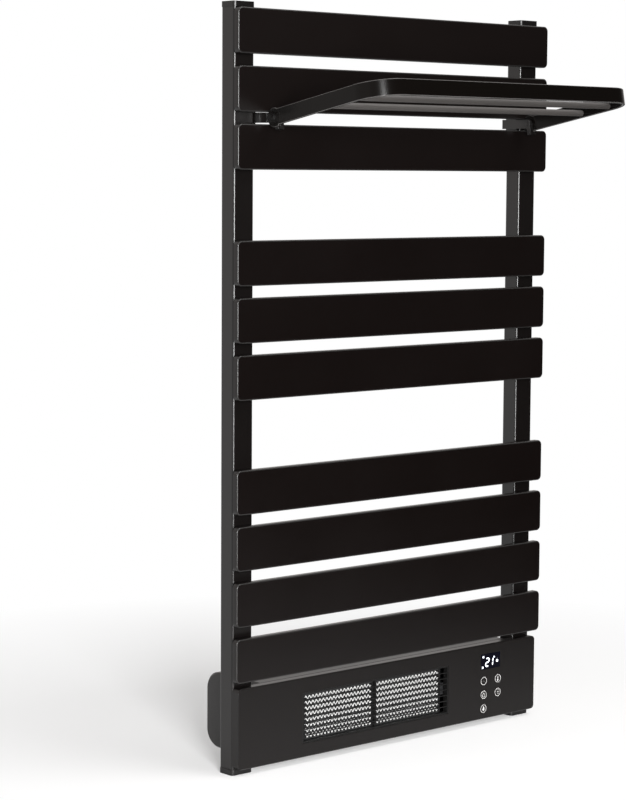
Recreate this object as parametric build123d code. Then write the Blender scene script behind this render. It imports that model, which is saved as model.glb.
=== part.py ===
from build123d import *
import math
import os

# Heated towel rail: two posts, ten heated slats, a folding shelf and a fan heater at the foot.
# All lengths are in millimetres. X runs along the slats, Y into the wall and Z up.
# The origin is the middle of the four wall fixings, on the plane of the posts' backs.

os.makedirs("parts", exist_ok=True)

# Overall frame
WIDTH = 550.0
HALF_WIDTH = WIDTH / 2
TOP = 480.0
BOTTOM = -480.0
CLEAR = 0.3

# Posts and their caps
POST_WIDTH = 32.0
POST_DEPTH = 25.0
POST_CORNER = 3.0
POST_WALL = 1.6
POST_X = HALF_WIDTH - 6.0 - POST_WIDTH / 2
POST_TOP = 473.0
POST_BOTTOM = -472.8
POST_FRONT = -POST_DEPTH
CAP_PROUD = 1.0
CAP_CORNER = 5.0
SPIGOT_LENGTH = 9.0
SPIGOT_GAP = 0.15
SPIGOT_WALL = 2.0

# Wall fixings: threaded inserts in the posts' backs
FIXING_RISE = 350.0
FIXING_RADIUS = 3.4
INSERT_RADIUS = 6.5
INSERT_LENGTH = 12.0

# Slats
SLAT_FRONT = -40.0
SLAT_DEPTH = 8.4
SLAT_HEIGHT = 55.65
SLAT_TOP = 472.0
SLAT_WALL = 1.4
SLAT_CORNER = 6.5
SLAT_EDGE = 1.3
SMALL_GAP = 14.7
LARGE_GAP = 86.55
LARGE_GAP_AFTER = (3, 6)
SLAT_COUNT = 10
HOLLOW_CUT = 4.0
BACK_THICKNESS = 1.0
BACK_RECESS = 0.4
BACK_GAP = 0.2
FOIL_HALF_LENGTH = 250.0
FOIL_HALF_HEIGHT = 20.0
FOIL_THICKNESS = 0.5
CLIP_WIDTH = 18.0
CLIP_HEIGHT = 26.0

# Shelf: a flat bar bent to a U, on two pivots in the gap between the second and third slat
SHELF_HALF = 229.85
SHELF_REACH = 188.5
SHELF_BEND = 41.7
BAR_HEIGHT = 20.0
BAR_THICKNESS = 4.0
PIVOT_Y = SLAT_FRONT - 13.6
PIVOT_Z = 339.4
SHELF_TILT = 10.5
HUB_RADIUS = 12.0
HEEL_LENGTH = 6.5
ROD_RADIUS = 4.0
ROD_DROP = 4.0
ROD_REACHES = (94.0, 141.0)
PIN_RADIUS = 3.0
PIN_GAP = 0.05
TONGUE_THICKNESS = 6.0
TONGUE_RADIUS = 6.3
BRACKET_HEIGHT = 12.4
BRACKET_FRONT = SLAT_FRONT + 4.5
BRACKET_BACK = -9.0
FOOT_THICKNESS = 4.0
FOOT_HEIGHT = 34.0
FOOT_FRONT = -23.0
FOOT_BACK = -3.0
LUG_THICKNESS = 3.0
LUG_FRONT = -5.8
LUG_BACK = 0.5
LUG_INSET = 0.6
PIN_INSET = 0.3

# Heater panel
PANEL_WIDTH = 538.6
PANEL_TOP = -368.2
PANEL_BOTTOM = -471.7
PANEL_FRONT = -37.0
PANEL_WALL = 1.8
PANEL_CORNER = 6.0
PANEL_EDGE = 1.3
PANEL_INSIDE = PANEL_FRONT + PANEL_WALL
WINDOW_X = -30.6
WINDOW_Z = -420.9
WINDOW_WIDTH = 263.0
WINDOW_HEIGHT = 65.6
DISPLAY_X = 181.8
DISPLAY_Z = -392.2
DISPLAY_WIDTH = 37.6
DISPLAY_HEIGHT = 21.4
KEY_SPOTS = ((168.9, -418.8), (196.5, -418.8), (168.9, -438.0), (196.5, -438.0), (168.9, -457.3))
KEY_RADIUS = 6.0
KEY_SIDES = 24
KEY_GAP = 0.3
KEY_TRAVEL = 0.5
KEY_PROUD = 0.1
KEY_FLANGE = 14.4
KEY_STEM = 4.0
KEY_FLANGE_THICKNESS = 0.8
KEY_STEM_LENGTH = 2.9
WINDOW_GAP = 0.15
MODULE_WIDTH = 40.0
MODULE_HEIGHT = 24.0
BOARD_FRONT = -26.6
BOARD_THICKNESS = 1.6
CONTROL_BOARD_X = (150.0, 214.0)
CONTROL_BOARD_Z = (-464.0, -376.0)
SWITCH_WIDTH = 6.0
SWITCH_PLUNGER = 3.0
SWITCH_PLUNGER_LENGTH = 0.8

# Outlet grille and heating cores
GRILLE_WALL = 1.6
GRILLE_DEPTH = 7.6
GRILLE_RECESS = 0.6
GRILLE_FLANGE = 4.0
GRILLE_FLANGE_THICKNESS = 1.4
MULLION_WIDTH = 3.0
MULLION_SETBACK = 3.6
ROW_COUNT = 8
BLADE_THICKNESS = 1.0
BLADE_DEPTH = 6.0
BLADE_DROP = 1.4
BLADE_SETBACK = 0.4
BLADE_STEPS = 2
CORE_FRONT = -28.2
CORE_DEPTH = 12.0
CORE_WIDTH = 116.6
CORE_HEIGHT = 61.0
CORE_SPLIT = 7.0
CORE_GAP = 0.2
FIN_FOLDS = 4
FIN_SETBACK = 0.5
FIN_OVERLAP = 0.15
FIN_THICKNESS = 0.6
TUBE_THICKNESS = 1.5
FRAME_WALL = 3.0

# Rear housing
HOUSING_HALF = 224.0
HOUSING_FRONT = -22.8
HOUSING_BACK = 82.0
HOUSING_TOP = -368.5
HOUSING_BOTTOM = -466.9
HOUSING_WALL = 2.2
HOUSING_ROUND = 23.0
HOUSING_EDGE = 2.4
SLOT_COUNT = 14
SLOT_PITCH = 16.0
SLOT_WIDTH = 6.0
SLOT_HEIGHT = 46.0
EAR_WIDTH = 10.0
EAR_HEIGHT = 14.0
EAR_THICKNESS = 2.4
EAR_RISES = (-386.0, -452.0)
BOSS_WIDTH = 7.0
GLAND_Y = 52.0
GLAND_Z = -446.0
GLAND_BORE = 3.6
GLAND_BODY = 6.6
GLAND_COLLAR = 9.5
GLAND_COLLAR_LENGTH = 4.0
GLAND_INSIDE = 8.0
GLAND_OUTSIDE = 7.0
GLAND_GAP = 0.2

# Cross-flow fan
FAN_X = WINDOW_X
FAN_Y = 24.0
FAN_Z = -417.0
FAN_RADIUS = 22.0
FAN_LENGTH = 236.0
FAN_BLADES = 14
FAN_BAYS = 2
FAN_BLADE_DEPTH = 7.0
FAN_BLADE_THICKNESS = 0.9
FAN_BLADE_LEAN = 16.0
FAN_TIP_INSET = 0.9
FAN_DISC = 2.4
SHAFT_RADIUS = 3.0
SHAFT_GAP = 0.05
BEARING_WIDTH = 17.6
BEARING_LENGTH = 4.5
BEARING_SHIFT = 0.75
DUCT_LENGTH = 246.0
DUCT_WALL = 1.6
DUCT_GAP = 3.2
DUCT_SPREAD = 13.0
DUCT_START = 45.0
DUCT_END = -105.0
DUCT_STEPS = 12
DUCT_EXIT_GAP = 0.4
TONGUE_SHARE_Y = 0.93
TONGUE_SHARE_Z = 0.42
MOTOR_WIDTH = 42.0
MOTOR_LENGTH = 38.0
MOTOR_GAP = 1.0
SHAFT_LEFT = 3.0
SHAFT_RIGHT = 10.0

# Power board: its back, its edges, and each block on it as x0, x1, height, z0, z1
POWER_Y = 20.0
POWER_X = (-216.0, -168.0)
POWER_Z = (-455.0, -380.0)
POWER_BLOCKS = (
    (-212.0, -198.0, 16.4, -404.0, -386.0),
    (-212.0, -198.0, 16.4, -426.0, -408.0),
    (-194.0, -174.0, 20.4, -448.0, -424.0),
    (-194.0, -176.0, 10.4, -410.0, -388.0),
)
CUTOUT_GAP = 5.0
CUTOUT_WIDTH = 5.0
CUTOUT_LENGTH = 14.0
CUTOUT_HALF_HEIGHT = 8.0


def at(x, y, z):
    """A placement that only moves."""
    return Pos(x, y, z)


def block(x0, x1, y0, y1, z0, z1):
    """A box between six planes."""
    box = Box(x1 - x0, y1 - y0, z1 - z0)
    return at((x0 + x1) / 2, (y0 + y1) / 2, (z0 + z1) / 2) * box


def rod_x(radius, x0, x1, y, z):
    """A round bar along X."""
    return at((x0 + x1) / 2, y, z) * Rot(0, 90, 0) * Cylinder(radius, x1 - x0)


def rod_y(radius, x, y0, y1, z):
    """A round bar along Y."""
    return at(x, (y0 + y1) / 2, z) * Rot(90, 0, 0) * Cylinder(radius, y1 - y0)


def prism_x(points, x0, x1):
    """A (y, z) outline carried along X."""
    face = Plane.YZ * make_face(Polyline(*points, close=True))
    return at(x0, 0, 0) * extrude(face, x1 - x0)


def hexagon_x(radius, x0, x1, y, z):
    """A six-sided bar along X."""
    return at(x0, y, z) * extrude(Plane.YZ * RegularPolygon(radius, 6), x1 - x0)


def polygon_y(radius, sides, x, y0, y1, z):
    """A bar along Y with equal flat sides."""
    return at(x, y1, z) * extrude(Plane.XZ * RegularPolygon(radius, sides), y1 - y0)


def cut_plate(width, height, cut, back, depth):
    """A plate with its corners cut off, facing the room."""
    sheet = Plane.XZ * chamfer(Rectangle(width, height).vertices(), cut)
    return at(0, back, 0) * extrude(sheet, depth)


def tray(width, height, depth, corner, edge, wall, back):
    """A folded tray with round corners, open at the back, with its long front edges broken."""
    outline = at(0, back, 0) * extrude(Plane.XZ * RectangleRounded(width, height, corner), depth)
    high = height / 2
    front = back - depth
    profile = [(back, -high), (back, high), (front + edge, high), (front, high - edge)]
    profile += [(front, edge - high), (front + edge, -high)]
    body = prism_x(profile, -width / 2, width / 2) & outline
    return body - cut_plate(width - 2 * wall, height - 2 * wall, HOLLOW_CUT, back + 1, depth - wall + 1)


def mirrored(shape):
    """The same piece for the other side."""
    return mirror(shape, Plane.YZ)


def write(name, shape):
    """One STEP file for each node."""
    export_step(shape, f"parts/{name}.step")


def slat_middles():
    """Heights of the slats' middles, from the top."""
    middles = []
    z = SLAT_TOP
    for number in range(1, SLAT_COUNT + 1):
        middles.append(z - SLAT_HEIGHT / 2)
        gap = LARGE_GAP if number in LARGE_GAP_AFTER else SMALL_GAP
        z -= SLAT_HEIGHT + gap
    return middles


def make_post():
    """Left post: a rounded rectangular tube with two threaded inserts in its back."""
    length = POST_TOP - POST_BOTTOM
    inside = Rectangle(POST_WIDTH - 2 * POST_WALL, POST_DEPTH - 2 * POST_WALL)
    tube = extrude(RectangleRounded(POST_WIDTH, POST_DEPTH, POST_CORNER) - inside, length)
    tube = at(-POST_X, POST_FRONT / 2, POST_BOTTOM) * tube
    for z in (FIXING_RISE, -FIXING_RISE):
        tube += polygon_y(INSERT_RADIUS, 6, -POST_X, -INSERT_LENGTH, -POST_WALL / 2, z)
        tube -= rod_y(FIXING_RADIUS, -POST_X, -INSERT_LENGTH - 1, 1, z)
    return tube


def make_cap(height):
    """An end cap: a plate a little proud of the post, with a hollow spigot below it."""
    width = POST_WIDTH + 2 * CAP_PROUD
    depth = POST_DEPTH + 2 * CAP_PROUD
    plate = extrude(RectangleRounded(width, depth, CAP_CORNER), height)
    wide = POST_WIDTH - 2 * POST_WALL - 2 * SPIGOT_GAP
    deep = POST_DEPTH - 2 * POST_WALL - 2 * SPIGOT_GAP
    spigot = Rectangle(wide, deep) - Rectangle(wide - 2 * SPIGOT_WALL, deep - 2 * SPIGOT_WALL)
    return plate + extrude(spigot, -SPIGOT_LENGTH)


def write_posts():
    post = make_post()
    write("left_post", post)
    write("right_post", mirrored(post))
    top = make_cap(TOP - POST_TOP)
    bottom = Rot(180, 0, 0) * make_cap(POST_BOTTOM - BOTTOM)
    for side, x in (("left", -POST_X), ("right", POST_X)):
        write(f"top_{side}_cap", at(x, POST_FRONT / 2, POST_TOP) * top)
        write(f"bottom_{side}_cap", at(x, POST_FRONT / 2, POST_BOTTOM) * bottom)


def make_back():
    """The slat's back plate, a little smaller than the tray's hollow."""
    wide = WIDTH - 2 * SLAT_WALL - 2 * BACK_GAP
    tall = SLAT_HEIGHT - 2 * SLAT_WALL - 2 * BACK_GAP
    return cut_plate(wide, tall, HOLLOW_CUT, SLAT_FRONT + SLAT_DEPTH - BACK_RECESS, BACK_THICKNESS)


def write_slats():
    back_face = SLAT_FRONT + SLAT_DEPTH
    slat = tray(WIDTH, SLAT_HEIGHT, SLAT_DEPTH, SLAT_CORNER, SLAT_EDGE, SLAT_WALL, back_face)
    back = make_back()
    foil_y = SLAT_FRONT + SLAT_WALL
    length = FOIL_HALF_LENGTH
    height = FOIL_HALF_HEIGHT
    foil = block(-length, length, foil_y, foil_y + FOIL_THICKNESS, -height, height)
    clip = block(-CLIP_WIDTH / 2, CLIP_WIDTH / 2, back_face, POST_FRONT, -CLIP_HEIGHT / 2, CLIP_HEIGHT / 2)
    foils = []
    clips = []
    for number, z in enumerate(slat_middles(), start=1):
        write(f"slat_{number:02d}", at(0, 0, z) * slat)
        write(f"slat_back_{number:02d}", at(0, 0, z) * back)
        foils.append(at(0, 0, z) * foil)
        clips.append(at(-POST_X, 0, z) * clip)
        clips.append(at(POST_X, 0, z) * clip)
    write("slat_heating_foils", Compound(children=foils))
    write("slat_clips", Compound(children=clips))


def tilted(shape):
    """From the shelf's own level frame, with the pivot at its origin, to its open place."""
    return at(0, PIVOT_Y, PIVOT_Z) * Rot(-SHELF_TILT, 0, 0) * shape


def make_shelf_bar():
    """The U: a flat bar on edge with two bends, a round hub and a flat heel at each end."""
    corners = [(-SHELF_HALF, 0), (-SHELF_HALF, -SHELF_REACH), (SHELF_HALF, -SHELF_REACH), (SHELF_HALF, 0)]
    outer = make_face(Polyline(*corners, close=True))
    outer = fillet(outer.vertices().group_by(Axis.Y)[0], SHELF_BEND)
    half = SHELF_HALF - BAR_THICKNESS
    reach = SHELF_REACH - BAR_THICKNESS
    inner = make_face(Polyline((-half, 1), (-half, -reach), (half, -reach), (half, 1), close=True))
    inner = fillet(inner.vertices().group_by(Axis.Y)[0], SHELF_BEND - BAR_THICKNESS)
    bar = at(0, 0, -BAR_HEIGHT / 2) * extrude(outer - inner, BAR_HEIGHT)
    for side in (-1, 1):
        near = side * half
        far = side * SHELF_HALF
        low = min(near, far)
        high = max(near, far)
        bar += rod_x(HUB_RADIUS, low, high, 0, 0)
        bar += block(low, high, -HEEL_LENGTH, 0, -HUB_RADIUS, 0)
        bar -= rod_x(PIN_RADIUS, low - 1, high + 1, 0, 0)
    return bar


def make_bracket():
    """Left hinge bracket: a foot welded to the post, a block, a tongue and a stop lug."""
    inner = -POST_X + POST_WIDTH / 2
    tongue_x0 = -SHELF_HALF + BAR_THICKNESS + CLEAR
    tongue_x1 = tongue_x0 + TONGUE_THICKNESS
    low = PIVOT_Z - BRACKET_HEIGHT / 2
    high = PIVOT_Z + BRACKET_HEIGHT / 2
    foot_low = PIVOT_Z - FOOT_HEIGHT / 2
    foot = block(inner, inner + FOOT_THICKNESS, FOOT_FRONT, FOOT_BACK, foot_low, foot_low + FOOT_HEIGHT)
    body = foot + block(inner, tongue_x1, BRACKET_FRONT, BRACKET_BACK, low, high)
    body += block(tongue_x0, tongue_x1, PIVOT_Y, BRACKET_FRONT, low, high)
    body += rod_x(TONGUE_RADIUS, tongue_x0, tongue_x1, PIVOT_Y, PIVOT_Z)
    lug_top = -HUB_RADIUS - CLEAR
    lug_low = lug_top - LUG_THICKNESS
    leg = block(tongue_x0, tongue_x1, LUG_FRONT, LUG_BACK, lug_low, 0)
    lug = block(-SHELF_HALF + LUG_INSET, tongue_x0, LUG_FRONT, LUG_BACK, lug_low, lug_top)
    body += tilted(leg + lug)
    return body - rod_x(PIN_RADIUS + PIN_GAP, tongue_x0 - 1, tongue_x1 + 1, PIVOT_Y, PIVOT_Z)


def make_pin():
    """Left pivot pin, pressed into the bar's hub and turning in the tongue."""
    outside = -SHELF_HALF + PIN_INSET
    inside = -SHELF_HALF + BAR_THICKNESS + CLEAR + TONGUE_THICKNESS + CLEAR
    return rod_x(PIN_RADIUS, outside, inside, PIVOT_Y, PIVOT_Z)


def write_shelf():
    write("shelf_bar", tilted(make_shelf_bar()))
    reach = SHELF_HALF - BAR_THICKNESS
    for name, along in zip(("shelf_inner_rod", "shelf_outer_rod"), ROD_REACHES):
        write(name, tilted(rod_x(ROD_RADIUS, -reach, reach, -along, -ROD_DROP)))
    bracket = make_bracket()
    pin = make_pin()
    write("left_hinge_bracket", bracket)
    write("right_hinge_bracket", mirrored(bracket))
    write("left_pivot_pin", pin)
    write("right_pivot_pin", mirrored(pin))


def make_panel():
    """The heater's front: a tray with the outlet window, the display opening and the key holes."""
    height = PANEL_TOP - PANEL_BOTTOM
    middle = (PANEL_TOP + PANEL_BOTTOM) / 2
    depth = POST_FRONT - PANEL_FRONT
    panel = tray(PANEL_WIDTH, height, depth, PANEL_CORNER, PANEL_EDGE, PANEL_WALL, POST_FRONT)
    panel = at(0, 0, middle) * panel
    cut = PANEL_WALL + 2
    panel -= at(WINDOW_X, PANEL_INSIDE, WINDOW_Z) * Box(WINDOW_WIDTH, 2 * cut, WINDOW_HEIGHT)
    panel -= at(DISPLAY_X, PANEL_INSIDE, DISPLAY_Z) * Box(DISPLAY_WIDTH, 2 * cut, DISPLAY_HEIGHT)
    for x, z in KEY_SPOTS:
        panel -= polygon_y(KEY_RADIUS + KEY_GAP, KEY_SIDES, x, PANEL_FRONT - 1, PANEL_INSIDE + 1, z)
    for x in (-HOUSING_HALF - EAR_WIDTH / 2, HOUSING_HALF + EAR_WIDTH / 2):
        for z in EAR_RISES:
            length = HOUSING_FRONT - PANEL_INSIDE
            panel += at(x, (HOUSING_FRONT + PANEL_INSIDE) / 2, z) * Box(BOSS_WIDTH, length, BOSS_WIDTH)
    return panel


def make_blade():
    """One louvre blade: a thin curved strip, low at the back, carried along the window."""
    points = []
    for step in range(BLADE_STEPS + 1):
        share = step / BLADE_STEPS
        points.append((share * BLADE_DEPTH, -BLADE_DROP * share * share))
    upper = [(y, z + BLADE_THICKNESS / 2) for y, z in points]
    lower = [(y, z - BLADE_THICKNESS / 2) for y, z in reversed(points)]
    half = WINDOW_WIDTH / 2 - GRILLE_WALL / 2
    return prism_x(upper + lower, -half, half)


def make_grille():
    """The outlet grille: a frame with a flange behind the panel, seven blades and a mullion."""
    wide = WINDOW_WIDTH - 2 * CLEAR
    tall = WINDOW_HEIGHT - 2 * CLEAR
    front = PANEL_FRONT + GRILLE_RECESS
    flange_y = PANEL_INSIDE + 0.1 + GRILLE_FLANGE_THICKNESS / 2
    frame = at(0, front + GRILLE_DEPTH / 2, 0) * Box(wide, GRILLE_DEPTH, tall)
    flange = Box(wide + 2 * GRILLE_FLANGE, GRILLE_FLANGE_THICKNESS, tall + 2 * GRILLE_FLANGE)
    frame += at(0, flange_y, 0) * flange
    inside_wide = wide - 2 * GRILLE_WALL
    inside_tall = tall - 2 * GRILLE_WALL
    frame -= at(0, front, 0) * Box(inside_wide, 4 * GRILLE_DEPTH, inside_tall)
    pitch = inside_tall / ROW_COUNT
    blade = make_blade()
    for row in range(1, ROW_COUNT):
        frame += at(0, front + BLADE_SETBACK, -inside_tall / 2 + row * pitch) * blade
    mullion = Box(MULLION_WIDTH, MULLION_WIDTH, inside_tall + 1)
    frame += at(0, front + MULLION_SETBACK + MULLION_WIDTH / 2, 0) * mullion
    return at(WINDOW_X, 0, WINDOW_Z) * frame


def make_core():
    """A heating core: eight folded fin strips brazed between nine flat heater tubes."""
    pitch = (CORE_HEIGHT - TUBE_THICKNESS) / ROW_COUNT
    fin_rise = pitch - TUBE_THICKNESS + 2 * FIN_OVERLAP
    fold = CORE_WIDTH / FIN_FOLDS
    upper = []
    for index in range(2 * FIN_FOLDS + 1):
        high = fin_rise / 2 if index % 2 else -fin_rise / 2 + FIN_THICKNESS
        upper.append((-CORE_WIDTH / 2 + index * fold / 2, high))
    lower = [(x, z - FIN_THICKNESS) for x, z in reversed(upper)]
    face = Plane.XZ * make_face(Polyline(*(upper + lower), close=True))
    strip = extrude(face, CORE_DEPTH - 2 * FIN_SETBACK)
    tube = at(0, -CORE_DEPTH / 2, 0) * Box(CORE_WIDTH, CORE_DEPTH, TUBE_THICKNESS)
    pieces = []
    for row in range(ROW_COUNT + 1):
        z = -CORE_HEIGHT / 2 + TUBE_THICKNESS / 2 + row * pitch
        pieces.append(at(0, 0, z) * tube)
        if row < ROW_COUNT:
            pieces.append(at(0, -FIN_SETBACK, z + pitch / 2) * strip)
    core = pieces[0].fuse(*pieces[1:])
    return at(0, CORE_FRONT + CORE_DEPTH, WINDOW_Z) * core


def make_core_frame():
    """The holder round both cores, with a bar between them."""
    wide = 2 * CORE_WIDTH + CORE_SPLIT
    y0 = CORE_FRONT - CORE_GAP
    y1 = CORE_FRONT + CORE_DEPTH + CORE_GAP
    half = wide / 2 + CORE_GAP
    tall = CORE_HEIGHT / 2 + CORE_GAP
    frame = block(-half - FRAME_WALL, half + FRAME_WALL, y0, y1, -tall - FRAME_WALL, tall + FRAME_WALL)
    frame -= block(-half, half, y0 - 1, y1 + 1, -tall, tall)
    bar = CORE_SPLIT / 2 - CORE_GAP
    frame += block(-bar, bar, y0, y1, -tall - 1, tall + 1)
    return at(WINDOW_X, 0, WINDOW_Z) * frame


def write_front():
    write("heater_panel", make_panel())
    write("outlet_grille", make_grille())
    core = make_core()
    shift = (CORE_WIDTH + CORE_SPLIT) / 2
    write("left_heating_core", at(WINDOW_X - shift, 0, 0) * core)
    write("right_heating_core", at(WINDOW_X + shift, 0, 0) * core)
    write("core_holder", make_core_frame())


def write_display():
    """The window in the panel, and the display module and control board behind it."""
    wide = DISPLAY_WIDTH - 2 * WINDOW_GAP
    tall = DISPLAY_HEIGHT - 2 * WINDOW_GAP
    glass = at(0, PANEL_FRONT + PANEL_WALL / 2, 0) * Box(wide, PANEL_WALL, tall)
    write("display_window", at(DISPLAY_X, 0, DISPLAY_Z) * glass)
    wide = MODULE_WIDTH / 2
    tall = MODULE_HEIGHT / 2
    module = block(-wide, wide, PANEL_INSIDE + CLEAR, BOARD_FRONT - 0.1, -tall, tall)
    write("display_module", at(DISPLAY_X, 0, DISPLAY_Z) * module)
    board_back = BOARD_FRONT + BOARD_THICKNESS
    write("control_board", block(*CONTROL_BOARD_X, BOARD_FRONT, board_back, *CONTROL_BOARD_Z))


def square_y(x, z, width, y0, y1):
    """A square bar along Y."""
    return at(x, (y0 + y1) / 2, z) * Box(width, y1 - y0, width)


def write_keys():
    """Five push keys, round in fine flats, each with a flange and a stem, and their switches."""
    flange_front = PANEL_INSIDE + CLEAR
    flange_back = flange_front + KEY_FLANGE_THICKNESS
    stem_back = flange_back + KEY_STEM_LENGTH
    plunger = stem_back + KEY_TRAVEL + CLEAR
    body_front = plunger + SWITCH_PLUNGER_LENGTH
    switches = []
    for number, (x, z) in enumerate(KEY_SPOTS, start=1):
        key = polygon_y(KEY_RADIUS, KEY_SIDES, x, PANEL_FRONT - KEY_PROUD, flange_front, z)
        key += square_y(x, z, KEY_FLANGE, flange_front, flange_back)
        key += square_y(x, z, KEY_STEM, flange_back, stem_back)
        write(f"key_{number}", key)
        switch = square_y(x, z, SWITCH_WIDTH, body_front, BOARD_FRONT)
        switches.append(switch + square_y(x, z, SWITCH_PLUNGER, plunger, body_front))
    write("key_switches", Compound(children=switches))


def housing_profile(inset):
    """The housing's side view, square at the front and round at the back."""
    front = HOUSING_FRONT - (10 if inset else 0)
    back = HOUSING_BACK - inset
    low = HOUSING_BOTTOM + inset
    high = HOUSING_TOP - inset
    outline = make_face(Polyline((front, low), (back, low), (back, high), (front, high), close=True))
    return fillet(outline.vertices().group_by(Axis.X)[-1], HOUSING_ROUND - inset)


def make_housing():
    """Rear housing: a shell with a round back, intake slots, four ears and a cable entry."""
    half = HOUSING_HALF
    shell = at(-half, 0, 0) * extrude(Plane.YZ * housing_profile(0), 2 * half)
    ends = shell.edges().group_by(Axis.X)
    rims = [edge for edge in list(ends[0]) + list(ends[-1]) if edge.center().Y > HOUSING_FRONT + 1]
    shell = chamfer(rims, HOUSING_EDGE)
    inner = half - HOUSING_WALL
    shell -= at(-inner, 0, 0) * extrude(Plane.YZ * housing_profile(HOUSING_WALL), 2 * inner)
    slot = Box(SLOT_WIDTH, 4 * HOUSING_WALL, SLOT_HEIGHT)
    first = WINDOW_X - (SLOT_COUNT - 1) * SLOT_PITCH / 2
    middle = (HOUSING_TOP + HOUSING_BOTTOM) / 2
    slots = [at(first + n * SLOT_PITCH, HOUSING_BACK, middle) * slot for n in range(SLOT_COUNT)]
    shell = shell.cut(*slots)
    for side in (-1, 1):
        near = side * (half - 1)
        far = side * (half + EAR_WIDTH)
        for z in EAR_RISES:
            y1 = HOUSING_FRONT + EAR_THICKNESS
            low, high = sorted((near, far))
            shell += block(low, high, HOUSING_FRONT, y1, z - EAR_HEIGHT / 2, z + EAR_HEIGHT / 2)
    return shell - hexagon_x(GLAND_BODY + GLAND_GAP, inner - 2, half + 1, GLAND_Y, GLAND_Z)


def write_housing():
    write("rear_housing", make_housing())
    wall = HOUSING_HALF
    inside = wall - GLAND_INSIDE
    outside = wall + GLAND_OUTSIDE
    gland = hexagon_x(GLAND_BODY, inside, outside, GLAND_Y, GLAND_Z)
    gland += hexagon_x(GLAND_COLLAR, wall, wall + GLAND_COLLAR_LENGTH, GLAND_Y, GLAND_Z)
    gland -= rod_x(GLAND_BORE, inside - 1, outside + 1, GLAND_Y, GLAND_Z)
    write("cable_gland", gland)


def scroll_points(start_radius):
    """Points on the duct's spiral about the fan's axis, as (y, z), from its top to its foot."""
    points = []
    for step in range(DUCT_STEPS + 1):
        share = step / DUCT_STEPS
        angle = math.radians(DUCT_START + (DUCT_END - DUCT_START) * share)
        radius = start_radius + DUCT_SPREAD * share
        points.append((FAN_Y + radius * math.cos(angle), FAN_Z + radius * math.sin(angle)))
    return points


def make_duct():
    """The fan's scroll: a spiral guide behind the wheel, a tongue above it and two end plates."""
    near = FAN_RADIUS + DUCT_GAP
    exit_y = CORE_FRONT + CORE_DEPTH + DUCT_EXIT_GAP
    exit_low = (exit_y, WINDOW_Z - CORE_HEIGHT / 2)
    exit_high = (exit_y, WINDOW_Z + CORE_HEIGHT / 2)
    outer_low = (exit_y, exit_low[1] - DUCT_WALL)
    outer_high = (exit_y, exit_high[1] + DUCT_WALL)
    inside = scroll_points(near)
    outside = scroll_points(near + DUCT_WALL)
    left = FAN_X - DUCT_LENGTH / 2
    right = FAN_X + DUCT_LENGTH / 2
    guide = prism_x(inside + [exit_low, outer_low] + outside[::-1], left, right)
    lip_y = FAN_Y - near * TONGUE_SHARE_Y
    lip_z = FAN_Z + near * TONGUE_SHARE_Z
    tongue_in = [exit_high, (lip_y - 4, lip_z + 3), (lip_y, lip_z)]
    tongue_out = [(lip_y + 1.2, lip_z + 1.2), (lip_y - 3, lip_z + 5), outer_high]
    duct = guide + prism_x(tongue_in + tongue_out, left, right)
    rim = [outer_high, outer_low] + outside[::-1]
    seat = BEARING_WIDTH + 0.4
    for x0 in (left, right - DUCT_WALL):
        plate = prism_x(rim, x0, x0 + DUCT_WALL)
        duct += plate - at(x0, FAN_Y, FAN_Z) * Box(4 * DUCT_WALL, seat, seat)
    return duct


def make_fan():
    """The cross-flow wheel: leaning blades held by three discs, each with a flat for every blade."""
    inner = FAN_RADIUS - FAN_BLADE_DEPTH
    tip = FAN_RADIUS - FAN_TIP_INSET
    lean = math.radians(FAN_BLADE_LEAN)
    y = tip * math.cos(lean)
    z = tip * math.sin(lean)
    thick = FAN_BLADE_THICKNESS / 2
    half = FAN_LENGTH / 2
    blade = prism_x([(inner, thick), (inner, -thick), (y, z - thick), (y, z + thick)], -half, half)
    step = 360 / FAN_BLADES
    blades = [Rot(step * n, 0, 0) * blade for n in range(FAN_BLADES)]
    outline = Rot(FAN_BLADE_LEAN, 0, 0) * (Plane.YZ * RegularPolygon(FAN_RADIUS, FAN_BLADES))
    disc = extrude(outline, FAN_DISC)
    spacing = (FAN_LENGTH - FAN_DISC) / FAN_BAYS
    discs = [at(-half + n * spacing, 0, 0) * disc for n in range(FAN_BAYS + 1)]
    wheel = discs[0].fuse(*discs[1:], *blades)
    wheel -= rod_x(SHAFT_RADIUS, -half - 1, half + 1, 0, 0)
    return at(FAN_X, FAN_Y, FAN_Z) * wheel


def write_fan():
    left = FAN_X - DUCT_LENGTH / 2
    right = FAN_X + DUCT_LENGTH / 2
    shaft_left = left - SHAFT_LEFT
    shaft_right = right + SHAFT_RIGHT
    write("air_duct", make_duct())
    write("fan_wheel", make_fan())
    write("fan_shaft", rod_x(SHAFT_RADIUS, shaft_left, shaft_right, FAN_Y, FAN_Z))
    bore = rod_x(SHAFT_RADIUS + SHAFT_GAP, shaft_left - 1, shaft_right + 2, FAN_Y, FAN_Z)
    bearing = Box(BEARING_LENGTH, BEARING_WIDTH, BEARING_WIDTH)
    write("fan_bush", at(left + BEARING_SHIFT, FAN_Y, FAN_Z) * bearing - bore)
    motor = Box(MOTOR_LENGTH, MOTOR_WIDTH, MOTOR_WIDTH)
    motor = at(right + MOTOR_GAP + MOTOR_LENGTH / 2, FAN_Y, FAN_Z) * motor
    motor += at(right + BEARING_SHIFT, FAN_Y, FAN_Z) * bearing
    write("fan_motor", motor - bore)


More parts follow.
